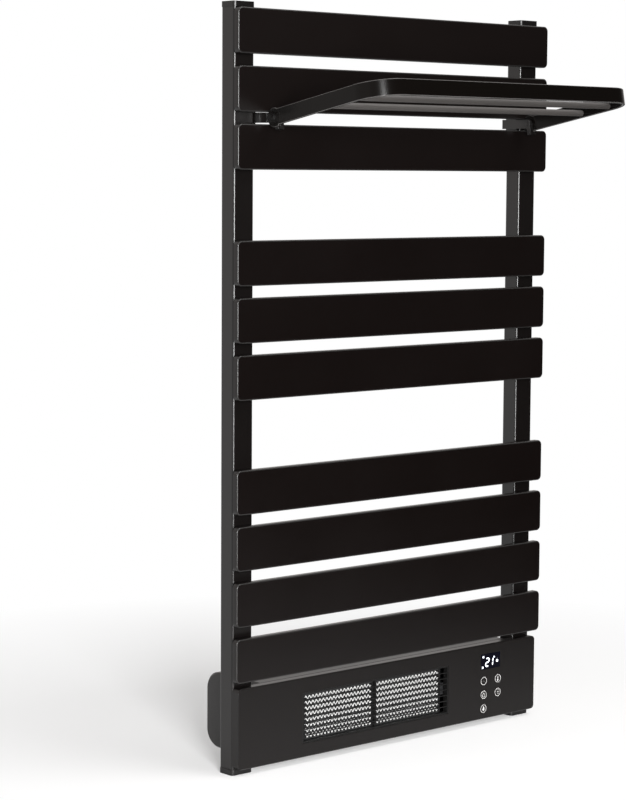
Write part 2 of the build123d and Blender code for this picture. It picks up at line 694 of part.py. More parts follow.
def write_power():
    """The power board with its relays, choke and capacitor block, and the thermal cut-out."""
    back = POWER_Y + BOARD_THICKNESS
    board = block(*POWER_X, POWER_Y, back, *POWER_Z)
    for x0, x1, height, z0, z1 in POWER_BLOCKS:
        board += block(x0, x1, back, back + height, z0, z1)
    write("power_board", board)
    x = WINDOW_X + CORE_WIDTH + CORE_SPLIT / 2 + CUTOUT_GAP
    y = CORE_FRONT + 1
    low = WINDOW_Z - CUTOUT_HALF_HEIGHT
    high = WINDOW_Z + CUTOUT_HALF_HEIGHT
    write("thermal_cutout", block(x, x + CUTOUT_WIDTH, y, y + CUTOUT_LENGTH, low, high))


write_posts()
write_slats()
write_shelf()
write_front()
write_display()
write_keys()
write_housing()
write_fan()
write_power()
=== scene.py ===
# %% [markdown]
# # A heated towel rail, dressed round its CAD frame
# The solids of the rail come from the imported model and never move. This lesson adds what a
# CAD solid doesn't carry: paint, metal and glass, the fine folds of the heating cores, the
# printed rings on the keys and the lit digits of the display.
# Everything is in metres: X runs along the slats, Y into the wall and Z up.

# %% Load the frame
import math

import bmesh
import bpy
import numpy as np
from mathutils import Matrix, Vector


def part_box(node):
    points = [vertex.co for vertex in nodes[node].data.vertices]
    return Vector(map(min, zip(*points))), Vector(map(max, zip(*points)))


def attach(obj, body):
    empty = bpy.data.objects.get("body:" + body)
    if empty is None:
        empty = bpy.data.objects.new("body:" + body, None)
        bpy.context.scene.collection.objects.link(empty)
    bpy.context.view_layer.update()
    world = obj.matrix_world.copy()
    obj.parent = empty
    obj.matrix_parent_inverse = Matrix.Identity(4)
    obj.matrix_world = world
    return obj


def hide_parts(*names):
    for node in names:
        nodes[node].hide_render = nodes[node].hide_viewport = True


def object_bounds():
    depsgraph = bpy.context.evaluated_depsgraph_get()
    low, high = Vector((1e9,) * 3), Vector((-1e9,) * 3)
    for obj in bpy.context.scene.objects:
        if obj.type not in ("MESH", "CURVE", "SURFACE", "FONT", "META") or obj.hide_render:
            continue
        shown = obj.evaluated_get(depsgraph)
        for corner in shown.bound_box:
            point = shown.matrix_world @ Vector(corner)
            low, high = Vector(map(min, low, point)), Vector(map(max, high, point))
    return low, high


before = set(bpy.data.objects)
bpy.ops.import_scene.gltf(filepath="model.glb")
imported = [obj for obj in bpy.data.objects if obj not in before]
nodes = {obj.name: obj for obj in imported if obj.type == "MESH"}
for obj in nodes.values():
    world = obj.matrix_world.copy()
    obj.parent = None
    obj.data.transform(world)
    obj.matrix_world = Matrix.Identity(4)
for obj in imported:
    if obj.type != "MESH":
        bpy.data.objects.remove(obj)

cad_low, cad_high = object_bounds()
print("CAD box", [round(v, 4) for v in (*cad_low, *cad_high)])

# %% [markdown]
# ## The camera
# The photograph was taken from the left, a little above the rail's middle, with a long lens.
# Its place and turn were solved from the straight edges of the slats and posts. A camera
# looks down its own -Z axis, so its matrix holds the right, up and backward directions.

# %% Place the camera
EYE = np.array([-2.1193, -2.2412, 0.2727])
YAW = math.radians(41.808)  # to the right of looking straight at the wall
PITCH = math.radians(5.524)  # below level
ROLL = 0.00616  # radians
LENS = 105.84  # focal length in millimetres, on a sensor of this width
SENSOR_WIDTH = 36.0
NEAREST, FARTHEST = 0.05, 60.0

level_reach = math.cos(PITCH)
forward = np.array([math.sin(YAW) * level_reach, math.cos(YAW) * level_reach, -math.sin(PITCH)])
level_right = np.array([math.cos(YAW), -math.sin(YAW), 0.0])
level_up = np.cross(level_right, forward)
right = math.cos(ROLL) * level_right + math.sin(ROLL) * level_up
up = -math.sin(ROLL) * level_right + math.cos(ROLL) * level_up


def in_scene(name, data):
    """A new object of the scene that shows the data, at the origin."""
    made = bpy.data.objects.new(name, data)
    bpy.context.scene.collection.objects.link(made)
    return made


camera = in_scene("camera", bpy.data.cameras.new("camera"))
camera.data.lens = LENS
camera.data.sensor_width = SENSOR_WIDTH
camera.data.clip_start = NEAREST
camera.data.clip_end = FARTHEST
turn = np.eye(4)
turn[:3, 0], turn[:3, 1], turn[:3, 2], turn[:3, 3] = right, up, -forward, EYE
camera.matrix_world = Matrix(turn.tolist())
bpy.context.scene.camera = camera
bpy.context.scene.view_settings.view_transform = "Standard"
print("camera at", EYE)

# %% [markdown]
# ## Writing shader maths as Python
# A material is a graph of small nodes. Placing Math nodes one by one is slow to read, so the
# class below wraps one output socket: adding, multiplying or subtracting two wires adds the
# Math node for it. Every other node goes through one method.

# %% A wire
class Wire:
    """One output of a shader graph. Arithmetic on it adds Math nodes to the same graph."""

    def __init__(self, finish, socket):
        self.finish = finish
        self.socket = socket

    def maths(self, operation, *values):
        inputs = dict(enumerate(values))
        return self.finish.node("ShaderNodeMath", {"operation": operation}, inputs)

    def __add__(self, other):
        return self.maths("ADD", self, other)

    __radd__ = __add__

    def __mul__(self, other):
        return self.maths("MULTIPLY", self, other)

    __rmul__ = __mul__

    def __sub__(self, other):
        return self.maths("SUBTRACT", self, other)

    def __rsub__(self, other):
        return self.maths("SUBTRACT", other, self)

    def __truediv__(self, other):
        return self.maths("DIVIDE", self, other)

    def power(self, exponent):
        return self.maths("POWER", self, exponent)

    def clipped(self):
        return self.maths("MAXIMUM", self.maths("MINIMUM", self, 1.0), 0.0)


print("wires ready")

# %% [markdown]
# ## A finish and its graph
# A finish is one material, or the world, with the nodes that all finishes share. A Mix node
# keeps a set of sockets for each kind of data, so the colour ones are picked by number.

# %% A finish
MIX_FACTOR, MIX_FIRST, MIX_SECOND, MIX_RESULT = 0, 6, 7, 2


class Finish:
    """One material, or the world, and the methods that grow its graph."""

    def __init__(self, name, owner=None):
        self.owner = owner or bpy.data.materials.new(name)
        self.owner.use_nodes = True
        self.tree = self.owner.node_tree
        self.tree.nodes.clear()

    def node(self, kind, settings=None, inputs=None, output=0):
        made = self.tree.nodes.new(kind)
        for key, value in (settings or {}).items():
            setattr(made, key, value)
        for key, value in (inputs or {}).items():
            if isinstance(value, Wire):
                self.tree.links.new(value.socket, made.inputs[key])
            else:
                made.inputs[key].default_value = value
        return Wire(self, made.outputs[output]) if len(made.outputs) else None

    def place(self):
        return self.node("ShaderNodeTexCoord", output="Object")

    def axes(self, vector):
        """The X, Y and Z parts of a vector, as three wires."""
        first = self.node("ShaderNodeSeparateXYZ", {}, {"Vector": vector})
        return [Wire(self, first.socket.node.outputs[axis]) for axis in "XYZ"]

    def noise(self, scale, detail=2.0, rough=0.5, place=None):
        inputs = {"Vector": place or self.place(), "Scale": scale, "Detail": detail, "Roughness": rough}
        return self.node("ShaderNodeTexNoise", {}, inputs)

    def streaks(self, scale):
        """Noise with a scale of its own along each axis, which draws it out to lines."""
        place = self.node("ShaderNodeMapping", {}, {"Vector": self.place(), "Scale": scale})
        return self.noise(1.0, detail=3.0, rough=0.6, place=place)

    def blended(self, factor, first, second):
        inputs = {MIX_FACTOR: factor, MIX_FIRST: first, MIX_SECOND: second}
        return self.node("ShaderNodeMix", {"data_type": "RGBA"}, inputs, MIX_RESULT)

    def bump(self, height, distance):
        return self.node("ShaderNodeBump", {}, {"Height": height, "Distance": distance})

    def shaded(self, inputs):
        shader = self.node("ShaderNodeBsdfPrincipled", {}, inputs)
        self.node("ShaderNodeOutputMaterial", {}, {"Surface": shader})
        return self.owner


def rgba(red, green, blue):
    return (red, green, blue, 1.0)


WHITE = rgba(1.0, 1.0, 1.0)
print("shader helpers ready")

# %% [markdown]
# ## Studio light
# The photograph is a packshot: a white room behind and beside the rail, and darkness where
# the camera stands. Satin black paint shows mostly what it mirrors, so the sides of the posts
# look grey against the white room while the fronts of the slats stay nearly black. The world
# below is bright where a ray runs towards the wall, to the left or up, and dark where it runs
# back towards the camera. The camera itself always sees white, and what the rail mirrors is a
# little warm, as the blacks in the photograph are.

# %% World
DARK_SIDE = 0.05
OPEN_SIDE = 0.86
AMBIENT = 0.30  # what matt surfaces get from every side
WARM_WALL = rgba(1.0, 0.955, 0.93)
WALL_PULL, RIGHT_PULL, UP_PULL, EVEN_PART = 1.6, 0.5, 0.9, 0.5

world = bpy.data.worlds.new("studio")
bpy.context.scene.world = world
sky = Finish("studio", world)
toward_right, toward_wall, upward = sky.axes(sky.node("ShaderNodeTexCoord", output="Generated"))
pull = toward_wall * WALL_PULL - toward_right * RIGHT_PULL + upward * UP_PULL
room = (pull + EVEN_PART).clipped() * (OPEN_SIDE - DARK_SIDE) + DARK_SIDE
camera_ray = sky.node("ShaderNodeLightPath", output="Is Camera Ray")
glossy_ray = sky.node("ShaderNodeLightPath", output="Is Glossy Ray")
strength = camera_ray + (1.0 - camera_ray) * (glossy_ray * room + (1.0 - glossy_ray) * AMBIENT)
wall_tone = sky.blended(camera_ray, WARM_WALL, WHITE)
background = sky.node("ShaderNodeBackground", {}, {"Color": wall_tone, "Strength": strength})
sky.node("ShaderNodeOutputWorld", {}, {"Surface": background})
print("world ready")

# %% [markdown]
# ## Two lamps
# The room's even glow draws no edges and casts no shadow, so two area lamps help it. A tall
# strip lamp stands near the camera, and the rounded corners of the posts mirror it as thin
# bright lines. A broad key lamp high in front throws the soft shadow behind the foot. An
# area lamp shines down its own -Z axis, so it is turned to its target.

# %% Lamps
def soft_lamp(name, place, target, width, height, power):
    """A rectangular area lamp at a place, turned to face a target. Its power is in watts."""
    data = bpy.data.lights.new(name, "AREA")
    data.shape = "RECTANGLE"
    data.size = width
    data.size_y = height
    data.energy = power
    lamp = in_scene(name, data)
    lamp.location = place
    lamp.rotation_euler = (Vector(target) - Vector(place)).to_track_quat("-Z", "Y").to_euler()


soft_lamp("strip_lamp", (-1.90, -2.95, 0.30), (0.0, 0.0, 0.0), width=0.85, height=1.9, power=270.0)
soft_lamp("key_lamp", (0.6, -1.5, 2.5), (0.0, 0.0, -0.3), width=1.6, height=1.6, power=48.0)

# %% [markdown]
# ## The floor
# A pale floor carries the soft shadow. A studio's paper curves up behind the object. Here a
# flat square does it: it glows a little, more with the distance from the rail, so that it
# runs into the white room without a horizon.

# %% Floor
FLOOR_HEIGHT = float(cad_low.z)
FLOOR_HALF = 9.0
CORNERS = ((-1, -1), (1, -1), (1, 1), (-1, 1))
floor_mesh = bpy.data.meshes.new("floor")
floor_corners = [(x * FLOOR_HALF, y * FLOOR_HALF, FLOOR_HEIGHT) for x, y in CORNERS]
floor_mesh.from_pydata(floor_corners, [], [(0, 1, 2, 3)])
floor = in_scene("floor", floor_mesh)
print("floor at", round(FLOOR_HEIGHT, 4))

# %% [markdown]
# ## The floor's paper
# Near the rail the paper is matt, and the lamps' light on it keeps the shadow. Past its edge
# it only glows. In a mirror it glows behind the rail and to its left, and stays dark towards
# the camera, as the world does.

# %% Floor finish
FLOOR_ALBEDO = 0.60
FLOOR_LIFT = 0.38  # glow of the near floor towards the camera
PAPER_EDGE = 1.10  # distance from the rail at which the matt part has faded out
PAPER_FADE = 0.7  # width of that fade
OPEN_FLOOR = 0.9  # glow of the open side in mirrors
AWAY_PULL, LEFT_PULL, OPEN_START = 1.2, 0.8, 0.45
NEAR_DIMMING = 0.6  # share by which the near floor glows less in mirrors

ground = Finish("floor_pale")
along, away, _ = ground.axes(ground.place())
distance = (along * along + away * away).power(0.5)
near = ((PAPER_EDGE - distance) / PAPER_FADE).clipped()
seen = ground.node("ShaderNodeLightPath", output="Is Camera Ray")
shade = near * FLOOR_ALBEDO
tone = ground.node("ShaderNodeCombineColor", {}, {"Red": shade, "Green": shade, "Blue": shade})
matte = ground.node("ShaderNodeBsdfDiffuse", {}, {"Color": tone})
open_side = (away * AWAY_PULL - along * LEFT_PULL + OPEN_START).clipped() * OPEN_FLOOR
mirrored_lift = (1.0 - seen) * open_side * (1.0 - near * NEAR_DIMMING)
lift = seen * (near * FLOOR_LIFT + (1.0 - near)) + mirrored_lift
glow = ground.node("ShaderNodeEmission", {}, {"Color": WHITE, "Strength": lift})
both = ground.node("ShaderNodeAddShader", {}, {0: matte, 1: glow})
ground.node("ShaderNodeOutputMaterial", {}, {"Surface": both})
floor.data.materials.append(ground.owner)
print("floor finish", ground.owner.name)

# %% [markdown]
# ## Satin powder paint
# The rail is powder coated: a fine, even skin with a very small orange peel that spreads
# every highlight. Two sizes of noise make it: a fine one for the grain of the powder, and a
# broad one that shifts colour and roughness by a few percent, as no sprayed skin is even.
# A rolled edge catches more light than a flat, so a highlight is painted along it. The pieces store where
# their rolls are in an attribute named "edge", and the paint pales along it: a painted highlight.

# %% Paint
GRAIN_SCALE = 900.0
DRIFT_SCALE = 7.0
COLOUR_DRIFT = 0.12
SHINE_DRIFT, GRAIN_SHINE = 0.10, 0.06
PEEL_HEIGHT = 0.000012
# tint of the painted highlight along rolled edges
EDGE_HIGHLIGHT_WARMTH = (1.0, 0.95, 0.92)


def shades(colour, spread):
    """A colour made darker and paler by the same share, in this order."""
    return [rgba(*[min(1.0, part * share) for part in colour]) for share in (1 - spread, 1 + spread)]


def powder_paint(name, colour, roughness, index=1.5, edge_highlight_tone=0.0):
    """Satin paint: fine noise as grain, broad noise as a drift of colour and roughness. It pales towards
    the painted highlight tone where a piece carries an "edge" attribute."""
    paint = Finish(name)
    grain = paint.noise(GRAIN_SCALE)
    broad = paint.noise(DRIFT_SCALE, detail=3.0)
    skin = paint.blended(broad, *shades(colour, COLOUR_DRIFT))
    if edge_highlight_tone:
        # painted highlight: the colour pales along the marked rolled edges
        edge = paint.node("ShaderNodeAttribute", {"attribute_name": "edge"}, output="Fac")
        skin = paint.blended(edge, skin, rgba(*[edge_highlight_tone * share for share in EDGE_HIGHLIGHT_WARMTH]))
    return paint.shaded({
        "Base Color": skin,
        "Roughness": roughness + (broad - 0.5) * SHINE_DRIFT + (grain - 0.5) * GRAIN_SHINE,
        "Normal": paint.bump(grain, PEEL_HEIGHT),
        "IOR": index,
    })


print("paint recipe ready")

# %% [markdown]
# ## Seven coats of one black
# All sheet metal has the same black on the real rail, but its parts look a little different, and each
# part's colour is shifted to paint in how the light falls on it: painted light and shade. A lower index of
# refraction mirrors less of the room, so the slats, the panel and the shelf are the calmest. The rods are
# given by far the palest colour, a painted stand-in for the floor's light on their undersides, which are
# all that shows of them.

# %% Paints
slat_paint = powder_paint("slat_satin_black", (0.0026, 0.0015, 0.0013), 0.32, index=1.42, edge_highlight_tone=0.016)
post_paint = powder_paint("post_satin_black", (0.0034, 0.0026, 0.0024), 0.30)
panel_paint = powder_paint("panel_satin_black", (0.0034, 0.0025, 0.0023), 0.34, index=1.40)
shelf_paint = powder_paint("shelf_satin_black", (0.0021, 0.0016, 0.0013), 0.22, index=1.24, edge_highlight_tone=0.08)
# the rods' pale colour is painted light from the floor
rod_paint_painted_pale = powder_paint("rod_black_painted_pale", (0.0600, 0.0550, 0.0520), 0.46, index=1.60)
housing_paint = powder_paint("housing_satin_black", (0.0110, 0.0100, 0.0100), 0.40)
bracket_paint = powder_paint("bracket_black", (0.0030, 0.0024, 0.0022), 0.36)
print("paints ready")

# %% [markdown]
# ## Moulded plastic
# Caps, grille, keys and the gland are moulded in black plastic. Spark-eroded moulds leave a
# coarser, pebbled texture than paint, so the noise is larger and deeper.

# %% Plastic
PEBBLES = 700.0
PEBBLE_DEPTH = 0.00002
BLOTCHES = 20.0
PLASTIC_DRIFT, PEBBLE_SHINE = 0.15, 0.12
PLASTIC_INDEX = 1.45


def moulded_plastic(name, colour, roughness, pebble=PEBBLES, depth=PEBBLE_DEPTH):
    """Moulded plastic: pebbled noise as texture, and a slight drift of colour."""
    plastic = Finish(name)
    pebbles = plastic.noise(pebble, detail=3.0, rough=0.6)
    return plastic.shaded({
        "Base Color": plastic.blended(plastic.noise(BLOTCHES), *shades(colour, PLASTIC_DRIFT)),
        "Roughness": roughness + (pebbles - 0.5) * PEBBLE_SHINE,
        "Normal": plastic.bump(pebbles, depth),
        "IOR": PLASTIC_INDEX,
    })


cap_plastic = moulded_plastic("cap_plastic", (0.0030, 0.0024, 0.0023), 0.36)
grille_plastic = moulded_plastic("grille_plastic", (0.0015, 0.0013, 0.0012), 0.55)
key_plastic = moulded_plastic("key_plastic", (0.0032, 0.0024, 0.0022), 0.36)
holder_plastic = moulded_plastic("holder_plastic", (0.0070, 0.0070, 0.0070), 0.55)
switch_plastic = moulded_plastic("switch_plastic", (0.020, 0.020, 0.021), 0.5)
gland_plastic = moulded_plastic("gland_plastic", (0.015, 0.015, 0.015), 0.42)
bush_rubber = moulded_plastic("bush_rubber", (0.012, 0.012, 0.012), 0.75, pebble=400.0, depth=0.00004)
print("plastics ready")

# %% [markdown]
# ## Bare metals
# Rolled aluminium, drawn steel and zinc-coated sheet differ mostly in the direction and size of their
# marks. Noise stretched along one axis gives the draw lines; round noise of a few millimetres gives the
# spangle of zinc. The cores' tubes get a dark grey and are only a little metallic, so the rows of fins show
# dark between them.

# %% Metal
LINE_DEPTH = 0.000006
LINE_SHINE = 0.15


def drawn_metal(name, colour, roughness, scale, depth=LINE_DEPTH, spread=0.10, metallic=1.0):
    """Metal with fine lines along one axis, from noise stretched along that axis."""
    metal = Finish(name)
    lines = metal.streaks(scale)
    return metal.shaded({
        "Base Color": metal.blended(lines, *shades(colour, spread)),
        "Metallic": metallic,
        "Roughness": roughness + (lines - 0.5) * LINE_SHINE,
        "Normal": metal.bump(lines, depth),
    })


tube_metal = drawn_metal("tube_aluminium", (0.035, 0.035, 0.035), 0.55, (60.0, 900.0, 900.0), metallic=0.3)
foil_metal = drawn_metal("foil_aluminium", (0.76, 0.76, 0.75), 0.30, (40.0, 900.0, 900.0))
fan_metal = drawn_metal("fan_aluminium", (0.62, 0.62, 0.63), 0.38, (60.0, 800.0, 800.0))
steel = drawn_metal("drawn_steel", (0.46, 0.46, 0.47), 0.32, (60.0, 900.0, 900.0))
duct_metal = drawn_metal("zinc_sheet", (0.55, 0.56, 0.57), 0.42, (120.0, 120.0, 120.0), 0.00001, 0.2)
motor_metal = drawn_metal("motor_laminations", (0.20, 0.20, 0.21), 0.5, (2200.0, 30.0, 30.0), 0.00002, 0.3)
print("drawn metals ready")

# %% [markdown]
# ## Fins
# The fins of a heating core are brazed foil. Each shows as one bright stroke, because only its front edge
# catches the lamps, and behind the edge it sinks into the dark of the core. That light and shade are
# painted into the colour: a painted bright front edge that falls off to a painted dark over the first
# millimetre of depth.

# %% Fin metal
# painted light on the fins' front edges and painted shade behind them
FIN_PAINTED_LIT = rgba(1.0, 1.0, 0.99)
FIN_PAINTED_SHADE = rgba(0.03, 0.03, 0.03)
FIN_SHADE_DEPTH = 0.0012

fin = Finish("core_aluminium")
core_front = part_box("left_heating_core")[0].y
_, deep, _ = fin.axes(fin.place())
fin_grain = fin.streaks((900.0, 60.0, 900.0))
core_metal_painted_shade = fin.shaded({
    "Base Color": fin.blended(((deep - core_front) / FIN_SHADE_DEPTH).clipped(), FIN_PAINTED_LIT, FIN_PAINTED_SHADE),
    "Metallic": 0.0,
    "Roughness": 0.50 + (fin_grain - 0.5) * LINE_SHINE,
    "Normal": fin.bump(fin_grain, LINE_DEPTH),
})
print("fin metal ready")

# %% [markdown]
# ## Board and glass
# The circuit boards carry green lacquer, lighter where copper tracks run below it: a wave,
# sharpened to lines. The display hides behind a dark tinted window, with a breath of blue.

# %% Board and window
TRACK_START, TRACK_SHARPNESS = 0.55, 6.0
board = Finish("board_lacquer")
wave = board.node("ShaderNodeTexWave", {"wave_type": "BANDS", "bands_direction": "DIAGONAL"},
                  {"Vector": board.place(), "Scale": 110.0, "Distortion": 6.0, "Detail": 1.0}, "Fac")
tracks = ((wave - TRACK_START) * TRACK_SHARPNESS).clipped()
board_lacquer = board.shaded({
    "Base Color": board.blended(tracks, rgba(0.008, 0.060, 0.022), rgba(0.020, 0.130, 0.050)),
    "Roughness": 0.28 + tracks * 0.08,
    "Normal": board.bump(tracks, 0.00003),
})

window = Finish("window_glass")
haze = window.noise(160.0)
window_glass = window.shaded({
    "Base Color": window.blended(haze, rgba(0.0004, 0.0004, 0.0026), rgba(0.0009, 0.0009, 0.0048)),
    "Roughness": 0.10 + haze * 0.05,
    "IOR": 1.2,
})
print("board and window ready")

# %% [markdown]
# ## Dress the CAD nodes
# Nodes whose shape is right keep their mesh and only get a material in their slots. The
# others get one too, since the softened copies below take it over.

# %% Assign materials
SLATS = [f"slat_{number:02d}" for number in range(1, 11)]
CAPS = ["top_left_cap", "top_right_cap", "bottom_left_cap", "bottom_right_cap"]
KEYS = [f"key_{number}" for number in range(1, 6)]
BRACKETS = ["left_hinge_bracket", "right_hinge_bracket"]
dressing = {
    post_paint: ["left_post", "right_post"],
    cap_plastic: CAPS,
    slat_paint: SLATS + [name.replace("slat", "slat_back") for name in SLATS],
    bracket_paint: BRACKETS + ["slat_clips", "left_pivot_pin", "right_pivot_pin"],
    shelf_paint: ["shelf_bar"],
    rod_paint_painted_pale: ["shelf_inner_rod", "shelf_outer_rod"],
    panel_paint: ["heater_panel"],
    grille_plastic: ["outlet_grille"],
    core_metal_painted_shade: ["left_heating_core", "right_heating_core"],
    holder_plastic: ["core_holder"],
    key_plastic: KEYS,
    switch_plastic: ["key_switches", "display_module", "thermal_cutout"],
    window_glass: ["display_window"],
    board_lacquer: ["control_board", "power_board"],
    housing_paint: ["rear_housing"],
    gland_plastic: ["cable_gland"],
    duct_metal: ["air_duct"],
    fan_metal: ["fan_wheel"],
    steel: ["fan_shaft"],
    bush_rubber: ["fan_bush"],
    motor_metal: ["fan_motor"],
    foil_metal: ["slat_heating_foils"],
}
dressed = 0
for finish, names in dressing.items():
    for name in names:
        slots = nodes[name].data.materials
        slots.clear()
        slots.append(finish)
        dressed += 1
print("dressed", dressed, "of", len(nodes), "nodes")

# %% [markdown]
# ## Turning numbers into a piece
# Each new piece is a grid of points: rows follow one parameter and columns the other. Faces
# join neighbours, and a grid that closes on itself joins its last row or column to its first.

# %% Grid to mesh
def grid_faces(rows, columns, close_rows, close_columns):
    """Faces between neighbouring points of a rows by columns grid, wrapping where it closes."""
    i = np.arange(rows if close_rows else rows - 1)
    j = np.arange(columns if close_columns else columns - 1)
    a, b = np.meshgrid(i, j, indexing="ij")
    here, below = a * columns, (a + 1) % rows * columns
    beside = (b + 1) % columns
    return np.stack([here + b, here + beside, below + beside, below + b], -1).reshape(-1, 4)


def closed_tube_faces(rows, columns):
    """Side faces of a tube and one face over each end."""
    faces = grid_faces(rows, columns, False, True).tolist()
    faces.append(list(range(columns - 1, -1, -1)))
    faces.append(list(range((rows - 1) * columns, rows * columns)))
    return faces


def joined(parts):
    """Several (points, faces) pairs as one."""
    points, faces, start = [], [], 0
    for part_points, part_faces in parts:
        points.append(part_points)
        faces += [[index + start for index in face] for face in part_faces]
        start += len(part_points)
    return np.concatenate(points), faces


def add_piece(name, points, faces, material, body, slot=None, replaces=(), smooth=True):
    """A mesh object at the origin that rides on a body."""
    mesh = bpy.data.meshes.new(name)
    mesh.from_pydata(np.asarray(points, float).tolist(), [], [list(map(int, f)) for f in faces])
    mesh.polygons.foreach_set("use_smooth", [smooth] * len(mesh.polygons))
    mesh.materials.append(material)
    mesh.update()
    piece = in_scene(name, mesh)
    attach(piece, body)
    if replaces:
        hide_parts(*replaces)
    return piece


print("grid helpers ready")

# %% [markdown]
# ## Light on edges
# Smooth shading bends the light across every edge, even where a flat meets a roll. So each
# piece marks its sharp edges, and a Weighted Normal modifier lets the flats rule at a shared
# point, which leaves the whole change of direction to the roll, as on pressed steel.

# %% Edge helpers
CREASE = 50  # degrees above which an edge stays sharp
FLATS_RULE = 100  # the modifier's highest weight for large faces


def painted_highlight_marked(piece, share):
    """Stores how strongly each point gets the painted edge highlight: 0 on a flat, 1 on the roll."""
    piece.data.attributes.new("edge", "FLOAT", "POINT").data.foreach_set("value", np.asarray(share, float))


def sharpened(piece, degrees=CREASE):
    """Marks edges sharper than an angle, so that flat faces stay flat beside rounded ones."""
    piece.data.set_sharp_from_angle(angle=math.radians(degrees))
    return piece


def flat_kept_flat(piece):
    """Lets the largest face at a point rule its normal, so a roll doesn't bend the flat."""
    weighted = piece.modifiers.new("flat_faces", "WEIGHTED_NORMAL")
    weighted.weight = FLATS_RULE
    weighted.keep_sharp = True


def outward(piece):
    """Turns every face of a closed mesh outward, whichever way its grid ran."""
    work = bmesh.new()
    work.from_mesh(piece.data)
    bmesh.ops.recalc_face_normals(work, faces=work.faces)
    work.to_mesh(piece.data)
    work.free()
    return piece


print("edges above", CREASE, "degrees stay sharp")

# %% [markdown]
# ## Slats
# A slat is a pressed steel tray: a flat front whose edge rolls over a small radius into the
# side walls, open at the back. Its outline is a rounded rectangle. The shell is that outline
# carried along the section: from the flat front, round the roll, back along the wall, round
# the thin rim and forward again inside. Columns follow the outline and rows the section.

# %% Outline and section
SLAT_CORNER = 0.0065
SLAT_ROLL = 0.0018
SLAT_WALL = 0.0014
SLAT_LIP = 0.0003  # the cut along the rim
LEAST_RADIUS = 0.00005  # keeps a corner's points apart where the inset eats it up


def rounded_outline(width, height, corner, inset=0.0, steps=10):
    """Points of a rounded rectangle shrunk by an inset, anticlockwise seen from the front.
    Each corner is a quarter circle about a centre one corner radius in from both sides."""
    radius = max(corner - inset, LEAST_RADIUS)
    turn = np.linspace(0, math.pi / 2, steps)
    points = []
    for quarter, (sx, sz) in enumerate(((1, -1), (1, 1), (-1, 1), (-1, -1))):
        angle = turn + (quarter - 1) * math.pi / 2
        cx = sx * (width / 2 - corner)
        cz = sz * (height / 2 - corner)
        points.append(np.stack([cx + radius * np.cos(angle), cz + radius * np.sin(angle)], -1))
    return np.concatenate(points)


def tray_section(depth, steps=7):
    """The tray's section as (inset, depth from the front): a quarter circle, with the inset
    as the radius less its sine's share and the depth as the radius less its cosine's, and
    then the wall, the rim and the inside."""
    turn = np.linspace(0, math.pi / 2, steps)
    roll = np.stack([SLAT_ROLL - SLAT_ROLL * np.sin(turn), SLAT_ROLL - SLAT_ROLL * np.cos(turn)], -1)
    rest = np.array([[0.0, depth - SLAT_LIP], [SLAT_LIP, depth], [SLAT_WALL - SLAT_LIP, depth],
                     [SLAT_WALL, depth - SLAT_LIP], [SLAT_WALL, SLAT_WALL]])
    return np.concatenate([roll, rest])


print("slat outline ready")

# %% [markdown]
# ## Ten shells
# The outline is drawn once for every point of the section, shrunk by its inset and set at its depth. The
# rows on the roll are marked for the painted highlight along the edge.

# %% Slat shells
ROLL_HIGHLIGHT_ROWS = slice(1, 5)


def slat_shell(node):
    """Carries a rounded outline along the tray's section, and closes front and inside flat."""
    low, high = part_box(node)
    section = tray_section(high.y - low.y)
    middle = (low.z + high.z) / 2
    loops = []
    for inset, back in section:
        outline = rounded_outline(high.x - low.x, high.z - low.z, SLAT_CORNER, inset)
        level = np.full(len(outline), low.y + back)
        loops.append(np.stack([outline[:, 0], level, outline[:, 1] + middle], -1))
    columns = len(loops[0])
    faces = grid_faces(len(loops), columns, False, True)[:, ::-1].tolist()
    last = (len(loops) - 1) * columns
    faces.append(list(range(columns)))
    faces.append(list(range(last + columns - 1, last - 1, -1)))
    points = np.concatenate(loops)
    piece = add_piece(f"{node}_shell", points, faces, slat_paint, "rail", "slat_paint", [node])
    roll_highlight = np.zeros(len(section))
    roll_highlight[ROLL_HIGHLIGHT_ROWS] = 1.0
    painted_highlight_marked(piece, np.repeat(roll_highlight, columns))
    flat_kept_flat(sharpened(piece))
    return piece


shells = [slat_shell(node) for node in SLATS]
print(len(shells), "slat shells of", len(shells[0].data.polygons), "faces")

# %% [markdown]
# ## Broken edges
# No moulded or pressed edge is truly sharp, and the thin light line along an edge is half of
# what makes black paint readable. A CAD node's mesh is loose triangles, so a copy is merged,
# its flat triangles are joined again, and a Bevel modifier rounds what is left. The node
# itself stays untouched and the copy stands in for it.

# %% Softening
MERGE_DISTANCE = 1e-6
FLAT_WITHIN = math.radians(1.0)
BEVEL_ABOVE = math.radians(34)


def softened(node, width, body="rail", segments=2):
    """A copy of a CAD node with merged faces and rounded edges, in place of the node."""
    source = nodes[node]
    work = bmesh.new()
    work.from_mesh(source.data)
    bmesh.ops.remove_doubles(work, verts=work.verts, dist=MERGE_DISTANCE)
    bmesh.ops.dissolve_limit(work, angle_limit=FLAT_WITHIN, verts=work.verts, edges=work.edges)
    mesh = bpy.data.meshes.new(f"{node}_soft")
    work.to_mesh(mesh)
    work.free()
    mesh.polygons.foreach_set("use_smooth", [True] * len(mesh.polygons))
    mesh.materials.append(source.data.materials[0])
    piece = in_scene(f"{node}_soft", mesh)
    bevel = piece.modifiers.new("edges", "BEVEL")
    bevel.width = width
    bevel.segments = segments
    bevel.limit_method = "ANGLE"
    bevel.angle_limit = BEVEL_ABOVE
    flat_kept_flat(piece)
    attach(piece, body)
    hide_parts(node)


print("softening ready")

# %% [markdown]
# ## Who gets soft edges
# The caps are moulded with generous rounds. Bent steel has a radius of about half a
# millimetre, and the keys are nearly sharp, so that they sit close in their holes.

# %% Softened copies
CAP_EDGE, CAP_SEGMENTS = 0.0016, 3
BENT_EDGE = 0.0006
THIN_EDGE = 0.0005
KEY_EDGE = 0.0002

